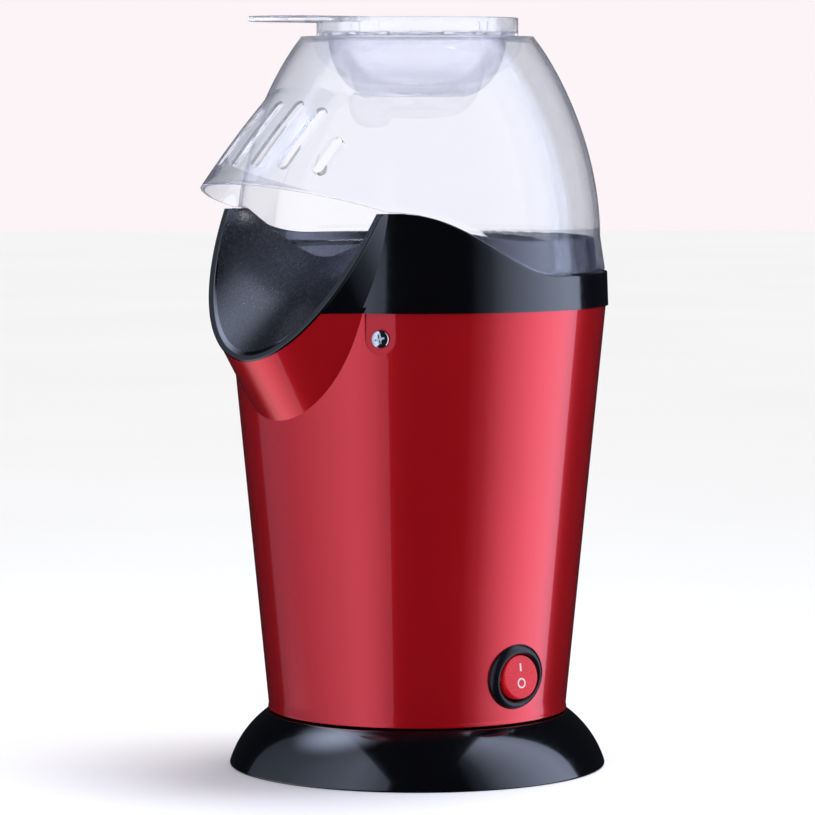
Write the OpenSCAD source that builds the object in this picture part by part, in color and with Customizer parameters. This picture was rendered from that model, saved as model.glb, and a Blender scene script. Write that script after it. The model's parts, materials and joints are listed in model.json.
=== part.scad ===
// Countertop hot-air popcorn maker, in millimetres, +Z up.
// The origin is on the body's axis in the plane the base stands on.
// The spout faces -Y and the rocker switch faces +X.

/* [Base] */
// Radius of the flared base where it stands
base_r = 69.5; // [69:0.1:70.5]
// Height of the flared base
base_h = 20; // [19.5:0.1:20.4]
// Radius of the arc that the flare follows
flare_r = 37; // [34:1:60]
// Radius of each rubber foot
foot_r = 5; // [4:0.5:6]

/* [Body] */
// Radius of the body shell at its lower edge
body_r_low = 54.8; // [54.2:0.1:55.2]
// Radius of the body shell where the collar starts
body_r_top = 69.3; // [68.8:0.1:69.6]
// Height at which the collar starts
collar_z = 170; // [169:0.5:171]
// Wall thickness of the moulded shells
wall = 2.2; // [1.8:0.1:2.4]

/* [Spout] */
// Half the width of the bulge under the spout
spout_a = 46.6; // [46:0.1:47]
// Half the length of the bulge's oval section
spout_b = 60; // [58:0.5:62]
// Forward lean of the bulge's axis, degrees
spout_tilt = 32; // [31:0.5:33]
// Backward lean of the mouth's rim, degrees
mouth_lean = 26.6; // [26:0.1:27]
// Reach of the chute's lip from the axis
lip_reach = 79; // [78:0.2:80]
// Height of the chute's lip
lip_z = 153; // [152:0.2:154]

/* [Collar] */
// Outer radius of the collar at its lower edge
collar_r = 70.2; // [70:0.1:70.6]
// Height of the two peaks beside the mouth
peak_z = 205; // [204:0.5:206]
// Height of the collar's edge at the back
back_z = 182.4; // [181:0.2:184]
// Lowest height of the ring that locates the dome
ring_z = 194.9; // [194:0.2:196]
// Radius of the opening above the popping chamber
throat_r = 42.8; // [42.6:0.1:43.2]

/* [Dome] */
// Height of the flat ring on top of the dome
dome_z = 268; // [267:0.5:269]
// Wall thickness of the clear dome
clear_wall = 1.8; // [1.5:0.1:2]
// Radius of the hood in plan
hood_r = 46; // [45.5:0.1:46.4]
// Height of the hood's front edge
hood_z = 216; // [215:0.2:216.6]
// Number of steam slots in the hood, always even
slot_count = 6; // [4:2:6]

/* [Measuring cup] */
// Outer radius of the cup's rim
cup_rim_r = 36.9; // [36:0.1:38]
// Height of the cup's rim above the dome
cup_rim_h = 6.8; // [6:0.2:7.4]
// Height of the cup's flat bottom
cup_bottom_z = 245.8; // [244:0.2:248]
// Reach of the cup's handle from the axis
handle_reach = 70; // [60:1:74]

/* [Switch] */
// Height of the rocker switch's centre
switch_z = 38; // [36:0.5:40]
// Outer radius of the switch bezel
bezel_r = 12; // [11.8:0.1:12.4]
// Radius of the ball that the rocker is cut from
rocker_r = 8.2; // [8:0.1:8.3]
// Half of the rocker's travel, degrees
rocker_tilt = 12; // [10:1:12]

/* [Popping chamber] */
// Outer radius of the popping chamber
chamber_r = 42.2; // [42:0.1:42.4]
// Height of the popping chamber's floor
chamber_z = 112; // [111:0.5:113]
// Height of the popping chamber's flange
flange_z = 176; // [175.5:0.1:176.4]
// Number of slanted air slots around the chamber
louvre_count = 18; // [12:1:20]

/* [Fan and motor] */
// Radius of the motor can
motor_r = 18; // [17:0.5:18.5]
// Height of the top of the motor can
motor_z = 53; // [52:0.5:53.5]
// Outer radius of the impeller
fan_r = 38; // [36:0.5:39]
// Number of impeller blades
blade_count = 9; // [7:1:12]

/* [Cord entry] */
// Radius of the hole through the cord grommet
cord_r = 3.3; // [3:0.1:3.6]
// Height of the cord grommet's axis
cord_z = 34; // [32:0.5:38]

/* [Hidden] */
$fn = 96;
body_z = base_h + 0.6;
fit = 0.3;
far = 200;
slope = (body_r_top - body_r_low) / (collar_z - body_z);
switch_lean = atan(slope);
switch_r = body_r_low + slope * (switch_z - body_z);
cavity_r = rocker_r + 0.35;
screw_z = 161;
screw_angle = 40;
cup_bowl_r = 32.6;
cup_foot_r = 15.9;
cup_wall = 1.5;
post_r = 47.4;
post_count = 3;
fan_plate_z = 56;
duct_z = 84;
heater_z = 90;
shaft_r = 1.58;
chute_a = 46;
chute_b = 25;
dam_y = 43.4;
dam_z = 188.8;
chute_slope = atan((dam_z - lip_z - 1) / (lip_reach - dam_y));
throat_z = 186;
ring_in_r = 62.8;
hood_back_z = peak_z + 0.4;
peak_y = 50;
hood_y = 88;
slot_w = 4;
slot_low = [222, 221.5, 220];
slot_pitch = 12;
slot_high = [245, 242.5, 232];
hood_low = [41.5, 214];
hood_high = [11.4, 245];
hood_tilt = atan((hood_low[0] - hood_high[0]) / (hood_high[1] - hood_low[1]));

// ---- Shared outlines -------------------------------------------------------

function body_radius(z) = body_r_low + slope * (z - body_z);
function ease(t) = let (s = min(max(t, 0), 1)) s * s * (3 - 2 * s);
function collar_edge(y) = back_z + (peak_z - back_z) * ease((y + 8) / 56);
function ring_edge(y) = min(peak_z, ring_z + 0.0053 * pow(max(0, y + 1), 2));
function dome_edge(y) = y < peak_y
    ? collar_edge(y) + 0.4
    : hood_back_z + (hood_z - hood_back_z) * (y - peak_y) / (hood_y - peak_y);
function oval(a, b, n = 48) = [for (i = [0:n - 1]) [a * cos(360 * i / n), b * sin(360 * i / n)]];

// Radius of the dome's outer face: a shoulder arc, then a nearly straight skirt
function dome_radius(z) = z > 195
    ? 42.2 + 24.9 * pow(1 - pow((z - 195) / (dome_z - 195), 1.9), 0.9)
    : 67.1 + 1.7 * (195 - z) / 11;

module ring(r_in, r_out, z0, z1) {
    translate([0, 0, z0])
        difference() {
            cylinder(h = z1 - z0, r = r_out);
            translate([0, 0, -1]) cylinder(h = z1 - z0 + 2, r = r_in);
        }
}

module disc(r, z0, z1) {
    translate([0, 0, z0]) cylinder(h = z1 - z0, r = r);
}

module around(count, start = 0) {
    for (i = [0:count - 1]) rotate([0, 0, start + i * 360 / count]) children();
}

module body_cone(inset, z0, z1) {
    translate([0, 0, z0])
        cylinder(h = z1 - z0, r1 = body_radius(z0) - inset, r2 = body_radius(z1) - inset);
}

// The front of the leaning oval tube that the spout and the bulge below it are cut from
module spout_tube(grow) {
    intersection() {
        rotate([spout_tilt, 0, 0])
            translate([0, 13.5 + spout_b, 100])
                linear_extrude(height = 140) polygon(oval(spout_a + grow, spout_b + grow));
        translate([-far / 2, -far, 0]) cube([far, far - 30, far + 50]);
    }
}

// Everything behind the plane of the mouth, set back by a gap
module behind_mouth(gap, depth = far) {
    translate([0, -lip_reach, lip_z])
        rotate([-mouth_lean, 0, 0])
            translate([-far / 2, gap, -far / 2]) cube([far, depth, far]);
}

// Everything below an edge height that varies from front to back
module below(heights) {
    rotate([90, 0, 90])
        translate([0, 0, -far / 2])
            linear_extrude(height = far)
                polygon(concat([[96, 100], [-100, 100]], heights));
}

module slab(z0, z1) {
    translate([-far / 2, -far / 2, z0]) cube([far, far, z1 - z0]);
}

front_to_back = concat([96, 88, 50], [for (y = [48:-4:-8]) y], [-100]);
module below_collar_edge() {
    below([for (y = front_to_back) [-y, collar_edge(y)]]);
}
module below_ring_edge() {
    below([for (y = front_to_back) [-y, ring_edge(y)]]);
}
module below_dome_edge() {
    below([for (y = front_to_back) [-y, dome_edge(y)]]);
}

// The chute is a trough of oval section that runs straight from the dam to the lip
chute_section_at = [for (i = [0:20]) -90 + 9 * i];
module chute(grow) {
    translate([0, -lip_reach, lip_z + 1])
        rotate([chute_slope + 90, 0, 0])
            translate([0, 0, -80])
                linear_extrude(height = 120)
                    polygon(concat(
                        [for (a = chute_section_at)
                            [(chute_a + grow) * sin(a), (chute_b + grow) * (1 - cos(a)) - grow]],
                        [[chute_a + grow, 80], [-chute_a - grow, 80]]));
}

// A round wire or tube swept along points, with its ends capped
function unit(v) = v / norm(v);
function sweep_ring(p, i, r, n) = let (
    d = unit(p[min(i + 1, len(p) - 1)] - p[max(i - 1, 0)]),
    u = unit(cross(d, abs(d[2]) > 0.9 ? [1, 0, 0] : [0, 0, 1])),
    v = cross(d, u))
    [for (k = [0:n - 1]) p[i] + r * (cos(360 * k / n) * u + sin(360 * k / n) * v)];

module wire(p, r, n = 8) {
    last = len(p) - 1;
    polyhedron(
        points = [for (i = [0:last]) each sweep_ring(p, i, r, n)],
        faces = concat(
            [[for (k = [0:n - 1]) k]],
            [[for (k = [0:n - 1]) last * n + n - 1 - k]],
            [for (i = [0:last - 1]) for (k = [0:n - 1])
                [i * n + k, (i + 1) * n + k, i * n + (k + 1) % n]],
            [for (i = [0:last - 1]) for (k = [0:n - 1])
                [i * n + (k + 1) % n, (i + 1) * n + k, (i + 1) * n + (k + 1) % n]]));
}

// A pan-head screw along +Z with its head's underside at the origin
module screw(head_r, head_h, shank_r, length) {
    difference() {
        union() {
            cylinder(h = head_h * 0.55, r = head_r);
            translate([0, 0, head_h * 0.55])
                cylinder(h = head_h * 0.45, r1 = head_r, r2 = head_r * 0.72);
        }
        for (a = [0, 90])
            rotate([0, 0, a])
                translate([-head_r * 0.55, -head_r * 0.12, head_h * 0.45])
                    cube([head_r * 1.1, head_r * 0.24, head_h]);
    }
    translate([0, 0, -length]) cylinder(h = length, r = shank_r);
}

// ---- Base ------------------------------------------------------------------

// Centre of the flare's arc, which passes through the top and the standing edges
flare_top = [55.4, base_h];
flare_foot = [base_r, 0.6];
flare_mid = (flare_top + flare_foot) / 2;
flare_dir = unit(flare_foot - flare_top);
flare_half = norm(flare_foot - flare_top) / 2;
flare_centre = flare_mid
    - sqrt(flare_r * flare_r - flare_half * flare_half) * [-flare_dir[1], flare_dir[0]];
flare_from = atan2(flare_top[1] - flare_centre[1], flare_top[0] - flare_centre[0]);
flare_to = atan2(flare_foot[1] - flare_centre[1], flare_foot[0] - flare_centre[0]);
function flare(inset) = [for (i = [0:10]) let (a = flare_from + (flare_to - flare_from) * i / 10)
    flare_centre + (flare_r - inset) * [cos(a), sin(a)]];

post_at = [for (i = [0:post_count - 1]) 60 + i * 120];
cover_screw_at = [0, 90, 180, 270];
foot_at = [45, 135, 225, 315];

module base_skirt() {
    color("black")
        difference() {
            union() {
                rotate_extrude()
                    polygon(concat(flare(0), [[base_r - 0.6, 0], [base_r - 3.2, 0]],
                        [for (i = [10:-1:0]) flare(wall)[i] - [0, i == 0 ? 0.4 : 0]],
                        [[50, base_h - wall], [50, base_h + 6], [51.9, base_h + 6], [51.9, base_h]]));
                for (a = cover_screw_at)
                    rotate([0, 0, a])
                        translate([55, 0, 6.3]) cylinder(h = base_h - wall - 6.2, r = 3.2);
            }
            for (a = cover_screw_at)
                rotate([0, 0, a])
                    translate([55, 0, 5]) cylinder(h = 9, r = 1.3);
            for (a = [66:12:114])
                rotate([0, 0, a])
                    translate([60, -3, -1]) cube([20, 6, 3.6]);
        }
}

module bottom_cover() {
    color("black")
        difference() {
            union() {
                disc(62, 4, 6);
                for (a = post_at)
                    rotate([0, 0, a])
                        translate([post_r, 0, 6]) cylinder(h = fan_plate_z - 6, r = 2.4);
                for (a = foot_at)
                    rotate([0, 0, a]) translate([50, 0, 2]) cylinder(h = 2.2, r = foot_r - 1);
                translate([-11, 38, 5.8]) cube([22, 6, cord_z - 5.8 - 4]);
            }
            for (r = [12, 20, 28])
                around(8, 22.5)
                    translate([r, -2, 3]) cube([6, 4, 4]);
            for (a = cover_screw_at)
                rotate([0, 0, a]) translate([55, 0, 3]) cylinder(h = 4, r = 1.8);
            for (a = post_at)
                rotate([0, 0, a]) translate([post_r, 0, fan_plate_z - 10]) cylinder(h = 11, r = 1.3);
            for (x = [-8, 8]) translate([x, 41, cord_z - 13]) cylinder(h = 10, r = 1.05);
        }
}

module rubber_feet() {
    color("dimgray")
        for (a = foot_at)
            rotate([0, 0, a])
                translate([50, 0, 0])
                    difference() {
                        cylinder(h = 4, r = foot_r);
                        translate([0, 0, 1.9]) cylinder(h = 3, r = foot_r - 1 + 0.02);
                    }
}

module bottom_screws() {
    color("silver")
        for (a = cover_screw_at)
            rotate([0, 0, a])
                translate([55, 0, 4]) mirror([0, 0, 1]) screw(2.8, 1.6, 1.25, 9);
}

// ---- Body shell ------------------------------------------------------------

module screw_tab(depth, r) {
    rotate([90, 0, 0]) cylinder(h = depth, r = r);
    translate([-r, -depth, 0]) cube([2 * r, depth, 20]);
}

module body_shell() {
    color("firebrick")
        difference() {
            union() {
                body_cone(0, body_z, collar_z);
                intersection() {
                    spout_tube(0);
                    slab(100, collar_z);
                    behind_mouth(1.5);
                }
            }
            body_cone(wall, body_z - 1, collar_z + 1);
            intersection() {
                spout_tube(-wall);
                slab(100, collar_z + 1);
            }
            for (a = [-screw_angle, screw_angle])
                rotate([0, 0, a])
                    translate([0, 0, screw_z]) {
                        translate([0, -body_radius(screw_z) + 0.7, 0]) screw_tab(12, 5.5);
                        rotate([90, 0, 0]) cylinder(h = 90, r = 1.8);
                    }
            translate([switch_r, 0, switch_z])
                rotate([0, 90 + switch_lean, 0])
                    translate([0, 0, -12]) cylinder(h = 20, r = 10.3);
            translate([0, 40, cord_z]) rotate([-90, 0, 0]) cylinder(h = 30, r = 5.5);
        }
}

// ---- Collar and chute ------------------------------------------------------

module collar_outer(z0, z1) {
    translate([0, 0, z0])
        cylinder(h = z1 - z0, r1 = collar_r - (z0 - collar_z) * 0.036,
            r2 = collar_r - (z1 - collar_z) * 0.036);
}

// The ring inside the dome's skirt
module locating_ring(grow) {
    rotate_extrude()
        polygon([[0, collar_z], [66.6 + grow, collar_z], [66.6 + grow, 184],
            [64.8 + grow, 195], [64.2 + grow, peak_z + 3], [0, peak_z + 3]]);
}

// The passage from the chamber up to the dome, closed in front by the dam
module passage() {
    intersection() {
        rotate_extrude()
            polygon([[0, 140], [throat_r, 140], [throat_r, throat_z], [ring_in_r, throat_z + 5.5],
                [ring_in_r, 230], [0, 230]]);
        translate([-far / 2, -dam_y, 100]) cube(far);
    }
}

// The hollow underside of the collar
module collar_underside() {
    difference() {
        union() {
            rotate_extrude()
                polygon([[0, 140], [67.6, 140], [67.6, back_z - 3], [60, back_z - 1],
                    [throat_r + 2.4, throat_z - 2.6], [0, throat_z - 2.6]]);
            intersection() {
                spout_tube(-wall);
                slab(140, back_z - 3);
                behind_mouth(1.5);
            }
        }
        chute(wall);
        disc(throat_r + wall, 130, 220);
    }
}

module collar_screw_boss() {
    for (a = [-screw_angle, screw_angle])
        rotate([0, 0, a])
            intersection() {
                translate([-5, -body_radius(150) + wall + 0.2, 152])
                    cube([10, 5, back_z - 152]);
                body_cone(wall + fit, 145, back_z + 1);
            }
}

module collar_solid() {
    intersection() {
        collar_outer(collar_z, peak_z);
        below_collar_edge();
    }
    intersection() {
        locating_ring(0);
        below_ring_edge();
    }
    intersection() {
        spout_tube(0.4);
        slab(collar_z, peak_z);
    }
    intersection() {
        spout_tube(-wall - fit);
        slab(140, collar_z + 1);
        chute(wall);
    }
    intersection() {
        spout_tube(0.4);
        slab(140, collar_z + 1);
        behind_mouth(-1, 2.5);
    }
}

module collar() {
    color("black")
        difference() {
            union() {
                difference() {
                    intersection() {
                        collar_solid();
                        behind_mouth(0);
                    }
                    collar_underside();
                }
                collar_screw_boss();
            }
            disc(50, 130, throat_z - 7.5);
            chute(0);
            passage();
            for (a = [-screw_angle, screw_angle])
                rotate([0, 0, a])
                    translate([0, -40, screw_z]) rotate([90, 0, 0]) cylinder(h = 40, r = 1.35);
        }
}

module collar_screws() {
    color("silver")
        for (a = [-screw_angle, screw_angle])
            rotate([0, 0, a])
                translate([0, -body_radius(screw_z) + 0.6, screw_z])
                    rotate([90, 0, 0]) screw(3.3, 1.9, 1.3, 8);
}

// ---- Dome and cup ----------------------------------------------------------

dome_levels = [for (i = [0:9]) 195 + (dome_z - 195) * i / 9];
module dome_form(inset) {
    top = dome_z - (inset > 0 ? inset : 0);
    rotate_extrude()
        polygon(concat([[0, 178], [dome_radius(178) - inset, 178]],
            [for (z = dome_levels) if (z < top - 0.2) [dome_radius(z) - inset, z]],
            [[dome_radius(dome_z) - inset, top], [0, top]]));
}

module hood_form(inset) {
    translate([0, -hood_low[0], hood_low[1]])
        rotate([-hood_tilt, 0, 0])
            translate([0, 0, -40])
                linear_extrude(height = 92)
                    polygon(oval(hood_r - inset, (hood_r - inset) * cos(hood_tilt)));
}

module steam_slot(x, z0, z1) {
    mid = (z0 + z1) / 2;
    reach = hood_low[0] + (hood_low[1] - mid) * tan(hood_tilt) + sqrt(hood_r * hood_r - x * x);
    half = (z1 - z0) / 2 / cos(hood_tilt) - 2;
    translate([x, -reach, mid])
        rotate([90 - hood_tilt, 0, 0]) {
            for (s = [-half, half])
                translate([0, s, -8]) cylinder(h = 16, r = slot_w / 2);
            translate([-slot_w / 2, -half, -8]) cube([slot_w, 2 * half, 16]);
        }
}

module dome_cover() {
    color("lavender", 0.35)
        difference() {
            union() {
                dome_form(0);
                intersection() {
                    hood_form(0);
                    slab(190, 262);
                }
            }
            dome_form(clear_wall);
            intersection() {
                hood_form(clear_wall);
                slab(180, 262);
            }
            below_dome_edge();
            disc(cup_bowl_r + 0.6, 240, 290);
            for (i = [0:slot_count / 2 - 1])
                for (s = [-1, 1])
                    steam_slot(s * slot_pitch * (i + 0.5), slot_low[i], slot_high[i]);
        }
}

module measuring_cup() {
    color("lavender", 0.35)
        difference() {
            union() {
                rotate_extrude()
                    polygon(concat([[0, cup_bottom_z]],
                        [for (i = [0:8]) let (a = 90 * i / 8)
                            [cup_foot_r + (cup_bowl_r - cup_foot_r) * sin(a),
                                cup_bottom_z + (dome_z - cup_bottom_z) * (1 - cos(a))]],
                        [[cup_rim_r, dome_z], [cup_rim_r, dome_z + cup_rim_h], [0, dome_z + cup_rim_h]]));
                translate([0, 0, dome_z + cup_rim_h - 2])
                    linear_extrude(height = 2)
                        intersection() {
                            translate([-14.8, -handle_reach]) square([29.6, handle_reach - 20]);
                            circle(r = handle_reach);
                        }
            }
            rotate_extrude()
                polygon(concat([[0, cup_bottom_z + cup_wall]],
                    [for (i = [0:8]) let (a = 90 * i / 8)
                        [cup_foot_r - 0.5 + (cup_bowl_r - cup_wall - cup_foot_r + 0.5) * sin(a),
                            cup_bottom_z + cup_wall + (dome_z - cup_bottom_z - cup_wall) * (1 - cos(a))]],
                    [[cup_rim_r - 1.6, dome_z + 1.2], [cup_rim_r - 1.6, dome_z + 20], [0, dome_z + 20]]));
            around(18, 10)
                translate([33.6, -2.6, dome_z - 1]) cube([5, 5.2, 2.4]);
        }
}

// ---- Rocker switch, built along +Z with +X pointing down the body ----------

module at_switch() {
    translate([switch_r, 0, switch_z]) rotate([0, 90 + switch_lean, 0]) children();
}

module switch_bezel() {
    color("black")
        difference() {
            at_switch()
                difference() {
                    union() {
                        translate([0, 0, -2]) cylinder(h = 3.4, r = bezel_r);
                        translate([0, 0, 1.4]) cylinder(h = 0.9, r1 = bezel_r, r2 = bezel_r - 1.2);
                        translate([0, 0, -18]) cylinder(h = 17, r = 10);
                    }
                    translate([0, 0, -16]) cylinder(h = 20, r = cavity_r);
                    translate([0, 0, 1.2]) cylinder(h = 2, r1 = cavity_r, r2 = cavity_r + 1.4);
                    rotate([90, 0, 0]) cylinder(h = 19.2, r = 1.25, center = true);
                    translate([0, 0, -12.4]) rotate([90, 0, 0]) cylinder(h = 18.6, r = 0.65, center = true);
                    for (x = [-5, 0, 5])
                        translate([x - 0.5, -2.5, -19]) cube([1, 5, 4]);
                }
            difference() {
                body_cone(-0.02, body_z, 80);
                at_switch() translate([0, 0, -18.5]) cylinder(h = 19, r = 10);
            }
        }
}

module at_rocker() {
    at_switch() rotate([0, -rocker_tilt, 0]) children();
}

module switch_rocker() {
    color("red")
        at_rocker() {
            difference() {
                intersection() {
                    sphere(r = rocker_r);
                    translate([0, 0, -4.5]) cylinder(h = 7.3, r = 9);
                }
                translate([0, 0, -5]) cylinder(h = 4.6, r = 1.3);
            }
            for (s = [-1, 1])
                rotate([s * 90, 0, 0]) translate([0, 0, 7.4]) cylinder(h = 2, r = 1.2);
        }
}

module rocker_marks() {
    color("white")
        at_rocker()
            translate([0, 0, 2.8]) {
                translate([-4.8, -0.35, 0]) cube([2.8, 0.7, 0.12]);
                translate([2.3, 0, 0])
                    difference() {
                        cylinder(h = 0.12, r = 1.85);
                        translate([0, 0, -1]) cylinder(h = 2, r = 1.3);
                    }
            }
}

module switch_plunger() {
    color("ivory")
        at_rocker() {
            translate([0, 0, -8.4]) cylinder(h = 7.9, r = 1.25);
            translate([0, 0, -8.4]) sphere(r = 1.25);
        }
}

module switch_lever() {
    color("goldenrod")
        at_switch()
            translate([0, 0, -12.4])
                rotate([0, 8, 0]) {
                    rotate([90, 0, 0]) cylinder(h = 18, r = 0.6, center = true);
                    difference() {
                        translate([-6, -2, 0.2]) cube([12, 4, 0.7]);
                        rotate([90, 0, 0]) cylinder(h = 3, r = 0.5, center = true);
                    }
                }
}

module switch_terminals() {
    color("goldenrod")
        at_switch()
            for (x = [-5, 0, 5])
                translate([x - 0.4, -2.4, -26]) cube([0.8, 4.8, 10.2]);
}

// ---- Cord entry ------------------------------------------------------------

module cord_grommet() {
    color("black")
        translate([0, body_radius(cord_z), cord_z])
            rotate([-90, 0, 0])
                difference() {
                    union() {
                        translate([0, 0, -8]) cylinder(h = 10, r = 5.2);
                        translate([0, 0, 0.8]) cylinder(h = 2.2, r1 = 7.2, r2 = 6.4);
                        translate([0, 0, -6.5]) cylinder(h = 2.4, r = 7);
                    }
                    translate([0, 0, -9]) cylinder(h = 14, r = cord_r);
                }
}

module cord_clamp() {
    color("dimgray")
        difference() {
            translate([-11, 38, cord_z - 4]) cube([22, 6, 9]);
            translate([0, 30, cord_z]) rotate([-90, 0, 0]) cylinder(h = 20, r = cord_r);
            for (x = [-8, 8]) translate([x, 41, cord_z - 5]) cylinder(h = 12, r = 1.4);
        }
}

module clamp_screws() {
    color("silver")
        for (x = [-8, 8]) translate([x, 41, cord_z + 5]) screw(2.4, 1.4, 1, 15);
}

// ---- Popping chamber and heater ---------------------------------------------

module popping_chamber() {
    color("silver")
        difference() {
            rotate_extrude()
                polygon([[0, chamber_z + 3], [14, chamber_z], [30, chamber_z + 1], [39, chamber_z + 4.5],
                    [chamber_r, chamber_z + 12], [chamber_r, flange_z], [50, flange_z],
                    [50, flange_z + 1], [chamber_r - 0.8, flange_z + 1], [chamber_r - 0.8, chamber_z + 12.4],
                    [38.4, chamber_z + 5.4], [30, chamber_z + 1.9], [14, chamber_z + 0.9],
                    [0, chamber_z + 3.9]]);
            around(louvre_count)
                translate([chamber_r, 0, chamber_z + 18])
                    rotate([35, 0, 0]) cube([6, 1.6, 9], center = true);
        }
}

module chamber_seal() {
    color("orangered") ring(throat_r + 0.2, 49.5, flange_z + 1, throat_z - 7.5);
}

module heat_shield() {
    color("lightgray")
        difference() {
            ring(49, 49.6, heater_z - 4, flange_z);
            around(6, 30)
                for (z = [100, 140]) translate([45, 0, z]) rotate([0, 90, 0]) cylinder(h = 8, r = 3);
        }
}

module heater_shell() {
    color("lightgray") {
        ring(45, 45.6, heater_z - 4, 137);
        ring(chamber_r + 0.4, 45.6, 136.4, 137);
    }
}

module mica_sleeve() {
    color("tan") ring(36.6, 37.2, heater_z, chamber_z - 2);
}

module mica_cross() {
    color("tan")
        difference() {
            union() {
                translate([-36, -0.4, heater_z]) cube([72, 0.8, 20]);
                translate([-0.4, -36, heater_z]) cube([0.8, 72, 20]);
            }
            for (a = [0:90:coil_turns * 360])
                rotate([0, 0, a])
                    translate([30, -1.2, coil_z(a) - 1.1]) cube([7, 2.4, 2.2]);
        }
}

coil_turns = 5;
coil_pitch = 3.4;
function coil_z(a) = heater_z + 2 + coil_pitch * a / 360;
module heater_coil() {
    color("gray")
        wire([for (i = [0:coil_turns * 20 - 10]) let (a = 18 * i)
            [33.4 * cos(a), 33.4 * sin(a), coil_z(a)]], 0.6, 6);
}

module thermostat() {
    color("silver")
        translate([0, 0, 150])
            rotate([0, 90, 160]) {
                translate([0, 0, chamber_r + 0.1])
                    difference() {
                        cylinder(h = 4.6, r = 7);
                        translate([0, 0, -chamber_r - 0.1]) rotate([0, 90, 0])
                            cylinder(h = 40, r = chamber_r, center = true);
                    }
            }
}

module thermal_fuse() {
    color("gainsboro")
        rotate([0, 0, 200])
            translate([chamber_r + 2.2, 0, 142]) cylinder(h = 10, r = 1.6);
}

// ---- Fan and motor -----------------------------------------------------------

module fan_cover() {
    color("ivory")
        difference() {
            rotate_extrude()
                polygon([[42, fan_plate_z + 2], [44.2, fan_plate_z + 2], [44.2, duct_z], [50, duct_z],
                    [50, duct_z + 2], [36, duct_z + 2], [36, duct_z], [42, duct_z - 4]]);
            for (a = post_at)
                rotate([0, 0, a]) translate([47, 0, duct_z - 1]) cylinder(h = 4, r = 1.4);
        }
}

module fan_base() {
    color("ivory")
        difference() {
            union() {
                disc(44.2, fan_plate_z, fan_plate_z + 2);
                for (a = post_at)
                    rotate([0, 0, a]) translate([post_r, 0, fan_plate_z]) cylinder(h = 2, r = 4);
            }
            translate([0, 0, fan_plate_z - 1]) cylinder(h = 4, r = 7);
            for (a = post_at)
                rotate([0, 0, a]) translate([post_r, 0, fan_plate_z - 1]) cylinder(h = 4, r = 1.7);
            for (a = [0, 180])
                rotate([0, 0, a]) translate([12, 0, fan_plate_z - 1]) cylinder(h = 4, r = 1.7);
            around(6, 30)
                difference() {
                    rotate([0, 0, -24])
                        rotate_extrude(angle = 48)
                            translate([20, fan_plate_z - 1]) square([14, 4]);
                }
        }
}

module fan_screws() {
    color("silver")
        for (a = post_at)
            rotate([0, 0, a]) translate([post_r, 0, fan_plate_z + 2]) screw(2.8, 1.6, 1.25, 9);
}

module impeller() {
    color("ivory")
        difference() {
            union() {
                disc(6, 60, 74);
                disc(fan_r, 74, 75.4);
                around(blade_count)
                    translate([4, -0.6, 61])
                        rotate([0, 0, 12]) cube([fan_r - 6, 1.2, 14]);
            }
            translate([0, 0, 59]) cylinder(h = 20, r = shaft_r + 0.02);
        }
}

module impeller_nut() {
    color("goldenrod")
        difference() {
            translate([0, 0, 75.4]) cylinder(h = 3, r = 4, $fn = 6);
            translate([0, 0, 75]) cylinder(h = 4, r = shaft_r + 0.02);
        }
}

module motor_can() {
    color("silver")
        difference() {
            union() {
                disc(motor_r, 16, motor_z);
                disc(6.5, motor_z, motor_z + 2.4);
            }
            disc(motor_r - 1.2, 15, motor_z - 1.2);
            disc(4.05, 40, motor_z + 4);
            for (a = [0, 180])
                rotate([0, 0, a]) translate([12, 0, motor_z - 3]) cylinder(h = 4, r = 1.3);
        }
}

module motor_end_cap() {
    color("black")
        difference() {
            union() {
                disc(motor_r, 13, 16);
                disc(motor_r - 1.3, 16, 18);
                disc(6.5, 10.5, 13);
            }
            disc(4.05, 9, 30);
            disc(10.6, 15, 19);
        }
}

module motor_shaft() {
    color("gainsboro") disc(shaft_r, 9, 80);
}

module armature() {
    color("sienna")
        difference() {
            union() {
                disc(12.6, 27, 45);
                disc(10.5, 24.6, 47.4);
            }
            disc(shaft_r + 0.02, 20, 50);
            around(3)
                translate([13.2, 0, 20]) cylinder(h = 40, r = 3.2);
        }
}

module commutator() {
    color("goldenrod")
        difference() {
            disc(3.6, 17.4, 24);
            disc(shaft_r + 0.02, 16, 26);
            around(3)
                translate([3, -0.2, 17]) cube([2, 0.4, 6]);
        }
}

module motor_magnets() {
    color("dimgray")
        for (a = [25, 205])
            rotate([0, 0, a])
                rotate_extrude(angle = 130)
                    translate([13.1, 24]) square([3.6, 24]);
}

module motor_bearings() {
    color("goldenrod")
        for (z = [10.6, motor_z - 1.6])
            ring(shaft_r + 0.04, 4, z, z + 3.8);
}

module carbon_brushes() {
    color("black")
        for (a = [90, 270])
            rotate([0, 0, a]) translate([3.9, -1.6, 18.6]) cube([6, 3.2, 3.6]);
}

module motor_screws() {
    color("silver")
        for (a = [0, 180])
            rotate([0, 0, a]) translate([12, 0, fan_plate_z + 2]) screw(2.6, 1.5, 1.25, 6.4);
}

// ---- Electrics ---------------------------------------------------------------

board_turn = 60;
module rectifier_board() {
    color("darkgreen")
        rotate([0, 0, board_turn]) difference() {
            translate([-46, -14, 12]) cube([18, 28, 1.6]);
            for (y = [-11, 11]) translate([-42, y, 11]) cylinder(h = 4, r = 1.5);
        }
}

module rectifier_diodes() {
    color("black")
        rotate([0, 0, board_turn])
            for (i = [0:3])
                translate([-43, -7 + i * 4.6, 15.2]) rotate([0, 90, 0]) cylinder(h = 6, r = 1.5);
}

module filter_capacitor() {
    color("steelblue")
        rotate([0, 0, board_turn])
            translate([-32.5, 0, 13.6]) cylinder(h = 14, r = 3.4);
}

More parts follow.
